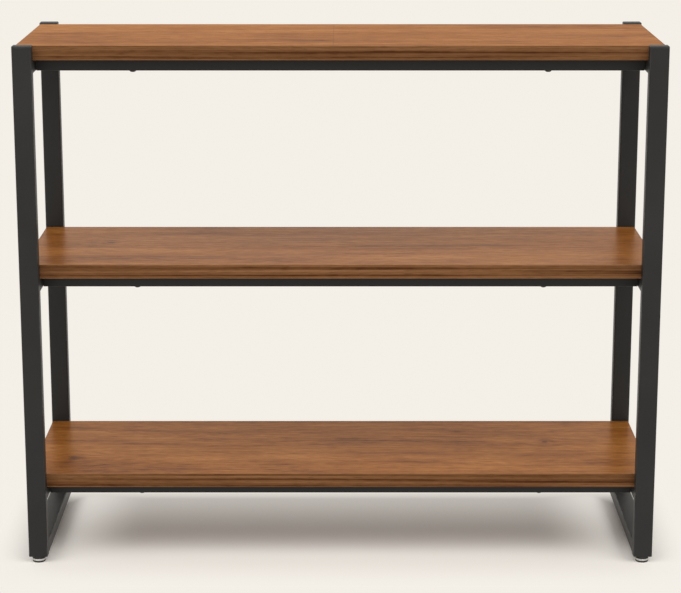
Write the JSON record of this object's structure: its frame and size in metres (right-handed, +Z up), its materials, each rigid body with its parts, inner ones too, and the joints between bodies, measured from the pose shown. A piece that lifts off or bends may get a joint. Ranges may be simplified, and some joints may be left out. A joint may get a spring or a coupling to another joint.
{
  "type": "bookcase",
  "caption": "Open-backed free-standing bookcase: wood-veneer shelves on dark rectangular-tube side frames tied by cross rails, standing on screw-in levelling feet.",
  "frame": {"origin": "On the floor, under the middle of the bookcase.", "axes": "+X runs along the shelves to the right, seen from the front; +Y runs from front to back; +Z is up."},
  "size_m": [1.006, 0.341, 0.83],
  "materials": {
    "frame_paint": "fine-textured satin powder coat, charcoal black",
    "shelf_veneer": "satin-lacquered warm brown veneer, grain along the shelf",
    "edge_veneer": "satin-lacquered edge band, grain along the edge",
    "black_plastic": "matt black moulded plastic",
    "bright_steel": "bright zinc-plated steel",
    "black_screws": "black oxide steel"
  },
  "bodies": {
    "frame": {"leg_front_left": "frame_paint", "leg_cap_front_left": "black_plastic", "foot_plug_front_left": "black_plastic", "leg_front_right": "frame_paint", "leg_cap_front_right": "black_plastic", "foot_plug_front_right": "black_plastic", "leg_back_left": "frame_paint", "leg_cap_back_left": "black_plastic", "foot_plug_back_left": "black_plastic", "leg_back_right": "frame_paint", "leg_cap_back_right": "black_plastic", "foot_plug_back_right": "black_plastic", "foot_nuts": "bright_steel", "floor_rail_left": "frame_paint", "floor_rail_right": "frame_paint", "shelf_top": "shelf_veneer", "edge_bands_top": "edge_veneer", "side_rail_top_left": "frame_paint", "side_rail_top_right": "frame_paint", "cross_rail_top_front": "frame_paint", "cross_rail_top_back": "frame_paint", "shelf_screws_top": "black_screws", "frame_bolts_top": "black_screws", "rail_end_plugs_top": "bright_steel", "shelf_middle": "shelf_veneer", "edge_bands_middle": "edge_veneer", "side_rail_middle_left": "frame_paint", "side_rail_middle_right": "frame_paint", "cross_rail_middle_front": "frame_paint", "cross_rail_middle_back": "frame_paint", "shelf_screws_middle": "black_screws", "frame_bolts_middle": "black_screws", "rail_end_plugs_middle": "bright_steel", "shelf_bottom": "shelf_veneer", "edge_bands_bottom": "edge_veneer", "side_rail_bottom_left": "frame_paint", "side_rail_bottom_right": "frame_paint", "cross_rail_bottom_front": "frame_paint", "cross_rail_bottom_back": "frame_paint", "shelf_screws_bottom": "black_screws", "frame_bolts_bottom": "black_screws", "rail_end_plugs_bottom": "bright_steel"},
    "pad_front_left": {"foot_pad_front_left": "black_plastic"},
    "stud_front_left": {"foot_stud_front_left": "bright_steel", "foot_collar_front_left": "black_plastic"},
    "pad_front_right": {"foot_pad_front_right": "black_plastic"},
    "stud_front_right": {"foot_stud_front_right": "bright_steel", "foot_collar_front_right": "black_plastic"},
    "pad_back_left": {"foot_pad_back_left": "black_plastic"},
    "stud_back_left": {"foot_stud_back_left": "bright_steel", "foot_collar_back_left": "black_plastic"},
    "pad_back_right": {"foot_pad_back_right": "black_plastic"},
    "stud_back_right": {"foot_stud_back_right": "bright_steel", "foot_collar_back_right": "black_plastic"}
  },
  "joints": [
    {"name": "foot_lift_front_left", "type": "slide", "parent": "frame", "child": "pad_front_left", "axis": [0, 0, -1], "range_m": [0, 0.012]},
    {"name": "foot_turn_front_left", "type": "hinge", "parent": "pad_front_left", "child": "stud_front_left", "pos_m": [-0.485, -0.16, 0], "axis": [0, 0, -1], "range_deg": [0, 3420]},
    {"name": "foot_lift_front_right", "type": "slide", "parent": "frame", "child": "pad_front_right", "axis": [0, 0, -1], "range_m": [0, 0.012]},
    {"name": "foot_turn_front_right", "type": "hinge", "parent": "pad_front_right", "child": "stud_front_right", "pos_m": [0.485, -0.16, 0], "axis": [0, 0, -1], "range_deg": [0, 3420]},
    {"name": "foot_lift_back_left", "type": "slide", "parent": "frame", "child": "pad_back_left", "axis": [0, 0, -1], "range_m": [0, 0.012]},
    {"name": "foot_turn_back_left", "type": "hinge", "parent": "pad_back_left", "child": "stud_back_left", "pos_m": [-0.485, 0.16, 0], "axis": [0, 0, -1], "range_deg": [0, 3420]},
    {"name": "foot_lift_back_right", "type": "slide", "parent": "frame", "child": "pad_back_right", "axis": [0, 0, -1], "range_m": [0, 0.012]},
    {"name": "foot_turn_back_right", "type": "hinge", "parent": "pad_back_right", "child": "stud_back_right", "pos_m": [0.485, 0.16, 0], "axis": [0, 0, -1], "range_deg": [0, 3420]}
  ],
  "couplings": [
    {"joint": "foot_lift_front_left", "follows": "foot_turn_front_left", "m_per_rad": 0.00019894},
    {"joint": "foot_lift_front_right", "follows": "foot_turn_front_right", "m_per_rad": 0.00019894},
    {"joint": "foot_lift_back_left", "follows": "foot_turn_back_left", "m_per_rad": 0.00019894},
    {"joint": "foot_lift_back_right", "follows": "foot_turn_back_right", "m_per_rad": 0.00019894}
  ]
}
